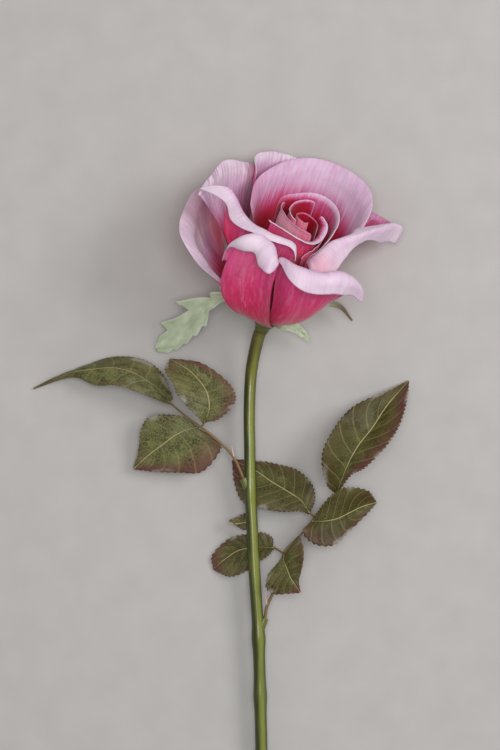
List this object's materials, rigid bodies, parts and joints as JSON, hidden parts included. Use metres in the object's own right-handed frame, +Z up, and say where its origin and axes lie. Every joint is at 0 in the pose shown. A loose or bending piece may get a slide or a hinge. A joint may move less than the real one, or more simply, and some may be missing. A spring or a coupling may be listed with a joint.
{
  "type": "artificial rose stem",
  "caption": "Artificial garden rose: heat-formed cloth petals seated round a moulded hip, on a plastic stem with two sprigs of toothed leaves, lying on its back.",
  "frame": {"origin": "on the table, under the middle of the box round the flower", "axes": "+Y along the stem towards the flower, +X to the flower's right seen from above, +Z up off the table"},
  "size_m": [0.1726, 0.4314, 0.076],
  "materials": {
    "petal_cloth": "heat-formed woven cloth, sheer at the rims",
    "sepal_cloth": "pale dyed cloth, die-cut",
    "leaf_cloth": "coated cloth with pressed veins, part gloss",
    "stalk_wire": "plastic-covered wire",
    "hip_plastic": "satin moulding",
    "stem_plastic": "satin to gloss moulding"
  },
  "bodies": {
    "root": {"bract": "leaf_cloth", "hip": "hip_plastic", "leaf_left_lower": "leaf_cloth", "leaf_left_terminal": "leaf_cloth", "leaf_left_upper": "leaf_cloth", "leaf_right_back": "leaf_cloth", "leaf_right_front": "leaf_cloth", "leaf_right_lower": "leaf_cloth", "leaf_right_terminal": "leaf_cloth", "leaf_right_upper": "leaf_cloth", "left_sprig_stalk": "stalk_wire", "petal_bud_back": "petal_cloth", "petal_bud_heart": "petal_cloth", "petal_bud_left": "petal_cloth", "petal_inner_back": "petal_cloth", "petal_inner_front": "petal_cloth", "petal_inner_right": "petal_cloth", "petal_middle_back": "petal_cloth", "petal_middle_front_left": "petal_cloth", "petal_outer_back": "petal_cloth", "petal_outer_back_left": "petal_cloth", "petal_outer_back_right": "petal_cloth", "petal_outer_front_left": "petal_cloth", "petal_outer_front_right": "petal_cloth", "petal_outer_left": "petal_cloth", "petal_outer_right": "petal_cloth", "right_sprig_stalk": "stalk_wire", "sepal_star": "sepal_cloth", "stem": "stem_plastic"}
  },
  "joints": []
}
